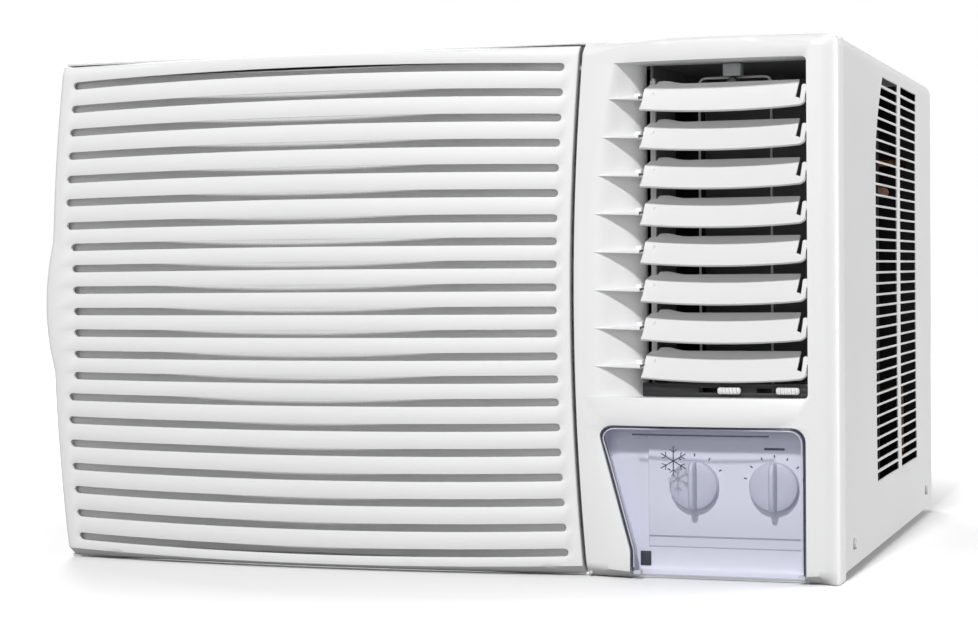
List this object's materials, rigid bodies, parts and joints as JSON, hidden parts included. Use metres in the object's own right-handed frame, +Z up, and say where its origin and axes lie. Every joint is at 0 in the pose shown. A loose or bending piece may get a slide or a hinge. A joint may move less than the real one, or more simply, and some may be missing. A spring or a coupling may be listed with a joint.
{
  "type": "window air conditioner",
  "caption": "Window air conditioner: slotted intake grille that swings open, tilting outlet louvres, flap-covered control knobs and a vented sheet-metal cabinet with its cooling set inside.",
  "frame": {"origin": "centre of the footprint on the floor, under the middle of the whole part", "axes": "+Z up, +X to the right seen from the front, the front faces -Y"},
  "size_m": [0.6812, 0.5609, 0.421],
  "materials": {
    "white_plastic": "satin white moulding",
    "grey_plastic": "satin grey",
    "black_plastic": "satin black",
    "smoked_clear": "clear plastic with a blue smoke tint",
    "filter_net": "woven grey net",
    "painted_steel": "light grey powder coat",
    "zinc_steel": "zinc plated",
    "aluminium_fin": "bare fin stock",
    "copper": "bright copper tube",
    "black_enamel": "gloss black enamel",
    "rubber": "matte black",
    "white_foam": "moulded white foam"
  },
  "bodies": {
    "case": {"front_frame": "white_plastic", "cabinet": "painted_steel", "base_pan": "zinc_steel", "bulkhead": "zinc_steel", "cabinet_screw_1": "zinc_steel", "cabinet_screw_2": "zinc_steel", "cabinet_screw_3": "zinc_steel", "cabinet_screw_4": "zinc_steel", "discharge_duct": "black_plastic", "duct_bracket": "grey_plastic", "bracket_screw": "zinc_steel", "wire_guard": "painted_steel", "lever_plate": "black_plastic", "control_panel": "white_plastic", "control_box": "zinc_steel", "selector_switch": "black_plastic", "thermostat": "zinc_steel", "run_capacitor": "aluminium_fin", "evaporator_coil": "aluminium_fin", "condenser_coil": "aluminium_fin", "drip_tray": "white_foam", "blower_housing": "white_foam", "fan_shroud": "zinc_steel", "fan_motor": "black_enamel", "motor_bracket": "zinc_steel", "compressor": "black_enamel", "compressor_grommet_1": "rubber", "compressor_grommet_2": "rubber", "compressor_grommet_3": "rubber", "accumulator": "black_enamel", "suction_pipe": "copper", "discharge_pipe": "copper", "capillary_tube": "copper"},
    "grille": {"intake_grille": "white_plastic", "air_filter_frame": "grey_plastic", "air_filter_net": "filter_net"},
    "louvre_1": {"louvre_1": "white_plastic"},
    "louvre_2": {"louvre_2": "white_plastic"},
    "louvre_3": {"louvre_3": "white_plastic"},
    "louvre_4": {"louvre_4": "white_plastic"},
    "louvre_5": {"louvre_5": "white_plastic"},
    "louvre_6": {"louvre_6": "white_plastic"},
    "louvre_7": {"louvre_7": "white_plastic"},
    "louvre_8": {"louvre_8": "white_plastic"},
    "tie_bar": {"louvre_tie_bar": "painted_steel"},
    "door": {"control_door": "smoked_clear"},
    "selector": {"selector_knob": "white_plastic"},
    "thermostat_dial": {"thermostat_knob": "white_plastic"},
    "fresh_air_slider": {"fresh_air_lever": "white_plastic"},
    "exhaust_slider": {"exhaust_lever": "white_plastic"},
    "fresh_air_flap": {"fresh_air_damper": "white_plastic"},
    "exhaust_flap": {"exhaust_damper": "white_plastic"},
    "rotor": {"fan_shaft": "zinc_steel", "blower_wheel": "black_plastic", "condenser_fan": "black_plastic"}
  },
  "joints": [
    {"name": "grille_swing", "type": "hinge", "parent": "case", "child": "grille", "pos_m": [0.1366, -0.2655, 0.2105], "axis": [0, 0, 1], "range_deg": [0, 60]},
    {"name": "louvre_1_tilt", "type": "hinge", "parent": "case", "child": "louvre_1", "pos_m": [0.2494, -0.2545, 0.3768], "axis": [1, 0, 0], "range_deg": [-20, 12]},
    {"name": "louvre_2_tilt", "type": "hinge", "parent": "case", "child": "louvre_2", "pos_m": [0.2494, -0.2545, 0.347], "axis": [1, 0, 0], "range_deg": [-20, 12]},
    {"name": "louvre_3_tilt", "type": "hinge", "parent": "case", "child": "louvre_3", "pos_m": [0.2494, -0.2545, 0.3172], "axis": [1, 0, 0], "range_deg": [-20, 12]},
    {"name": "louvre_4_tilt", "type": "hinge", "parent": "case", "child": "louvre_4", "pos_m": [0.2494, -0.2545, 0.2874], "axis": [1, 0, 0], "range_deg": [-20, 12]},
    {"name": "louvre_5_tilt", "type": "hinge", "parent": "case", "child": "louvre_5", "pos_m": [0.2494, -0.2545, 0.2576], "axis": [1, 0, 0], "range_deg": [-20, 12]},
    {"name": "louvre_6_tilt", "type": "hinge", "parent": "case", "child": "louvre_6", "pos_m": [0.2494, -0.2545, 0.2278], "axis": [1, 0, 0], "range_deg": [-20, 12]},
    {"name": "louvre_7_tilt", "type": "hinge", "parent": "case", "child": "louvre_7", "pos_m": [0.2494, -0.2545, 0.198], "axis": [1, 0, 0], "range_deg": [-20, 12]},
    {"name": "louvre_8_tilt", "type": "hinge", "parent": "case", "child": "louvre_8", "pos_m": [0.2494, -0.2545, 0.1682], "axis": [1, 0, 0], "range_deg": [-20, 12]},
    {"name": "tie_bar_lift", "type": "slide", "parent": "case", "child": "tie_bar", "axis": [0, 0, 1], "range_m": [-0.00575, 0.00345]},
    {"name": "door_hinge", "type": "hinge", "parent": "case", "child": "door", "pos_m": [0.2484, -0.2645, 0.0055], "axis": [1, 0, 0], "range_deg": [0, 85]},
    {"name": "selector_turn", "type": "hinge", "parent": "case", "child": "selector", "pos_m": [0.2234, -0.2515, 0.073], "axis": [0, 1, 0], "range_deg": [-135, 135]},
    {"name": "thermostat_turn", "type": "hinge", "parent": "case", "child": "thermostat_dial", "pos_m": [0.2864, -0.2515, 0.073], "axis": [0, 1, 0], "range_deg": [-150, 150]},
    {"name": "fresh_air_slide", "type": "slide", "parent": "case", "child": "fresh_air_slider", "axis": [1, 0, 0], "range_m": [-0.02, 0]},
    {"name": "exhaust_slide", "type": "slide", "parent": "case", "child": "exhaust_slider", "axis": [1, 0, 0], "range_m": [-0.02, 0]},
    {"name": "fresh_air_flap_hinge", "type": "hinge", "parent": "case", "child": "fresh_air_flap", "pos_m": [0.2364, -0.0245, 0.38], "axis": [1, 0, 0], "range_deg": [0, 46]},
    {"name": "exhaust_flap_hinge", "type": "hinge", "parent": "case", "child": "exhaust_flap", "pos_m": [0.1434, -0.0245, 0.38], "axis": [1, 0, 0], "range_deg": [0, 46]},
    {"name": "rotor_spin", "type": "hinge", "parent": "case", "child": "rotor", "pos_m": [-0.0516, 0.0355, 0.222], "axis": [0, 1, 0], "continuous": true}
  ],
  "couplings": [
    {"joint": "louvre_1_tilt", "follows": "tie_bar_lift", "rad_per_m": 60.6},
    {"joint": "louvre_2_tilt", "follows": "tie_bar_lift", "rad_per_m": 60.6},
    {"joint": "louvre_3_tilt", "follows": "tie_bar_lift", "rad_per_m": 60.6},
    {"joint": "louvre_4_tilt", "follows": "tie_bar_lift", "rad_per_m": 60.6},
    {"joint": "louvre_5_tilt", "follows": "tie_bar_lift", "rad_per_m": 60.6},
    {"joint": "louvre_6_tilt", "follows": "tie_bar_lift", "rad_per_m": 60.6},
    {"joint": "louvre_7_tilt", "follows": "tie_bar_lift", "rad_per_m": 60.6},
    {"joint": "louvre_8_tilt", "follows": "tie_bar_lift", "rad_per_m": 60.6},
    {"joint": "fresh_air_flap_hinge", "follows": "fresh_air_slide", "rad_per_m": -39.27},
    {"joint": "exhaust_flap_hinge", "follows": "exhaust_slide", "rad_per_m": -39.27}
  ]
}
